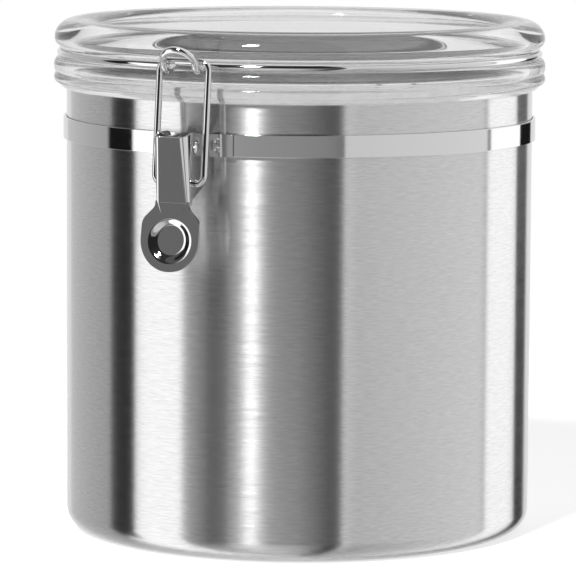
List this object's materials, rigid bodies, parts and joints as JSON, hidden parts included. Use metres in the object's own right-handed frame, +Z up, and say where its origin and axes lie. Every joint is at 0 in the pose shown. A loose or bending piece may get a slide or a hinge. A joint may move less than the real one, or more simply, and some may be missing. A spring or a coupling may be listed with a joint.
{
  "type": "lidded food canister",
  "caption": "Round steel food canister with a clear ribbed lid on a rear hinge, held shut by a wire bail and an over-centre lever.",
  "frame": {"origin": "centre of the flat base's underside, on the can's axis", "axes": "+Z up the can's axis, -Y towards the clamp, +Y towards the hinge, +X to the right of somebody facing the clamp"},
  "size_m": [0.1844, 0.2054, 0.1917],
  "materials": {
    "brushed_steel": "stainless steel brushed round the can",
    "polished_steel": "mirror-polished stainless steel",
    "clear_acrylic": "clear polished acrylic",
    "clear_silicone": "translucent silicone"
  },
  "bodies": {
    "can": {"canister_body": "brushed_steel", "clamp_band": "polished_steel", "latch_bracket": "polished_steel", "lever_pin": "polished_steel", "hinge_bracket": "polished_steel"},
    "lever": {"latch_lever": "polished_steel"},
    "bail": {"bail_wire": "polished_steel"},
    "lid": {"lid": "clear_acrylic", "lid_gasket": "clear_silicone", "lid_ring_wire": "polished_steel"}
  },
  "joints": [
    {"name": "lever_pivot", "type": "hinge", "parent": "can", "child": "lever", "pos_m": [0, -0.0982, 0.15055], "axis": [-1, 0, 0], "range_deg": [0, 95]},
    {"name": "bail_pivot", "type": "hinge", "parent": "lever", "child": "bail", "pos_m": [0, -0.098, 0.13795], "axis": [-1, 0, 0], "range_deg": [-74.1, 0]},
    {"name": "lid_hinge", "type": "hinge", "parent": "can", "child": "lid", "pos_m": [0, 0.096, 0.167], "axis": [-1, 0, 0], "range_deg": [0, 100]}
  ],
  "couplings": [
    {"joint": "bail_pivot", "follows": "lever_pivot", "ratio": -0.78}
  ]
}
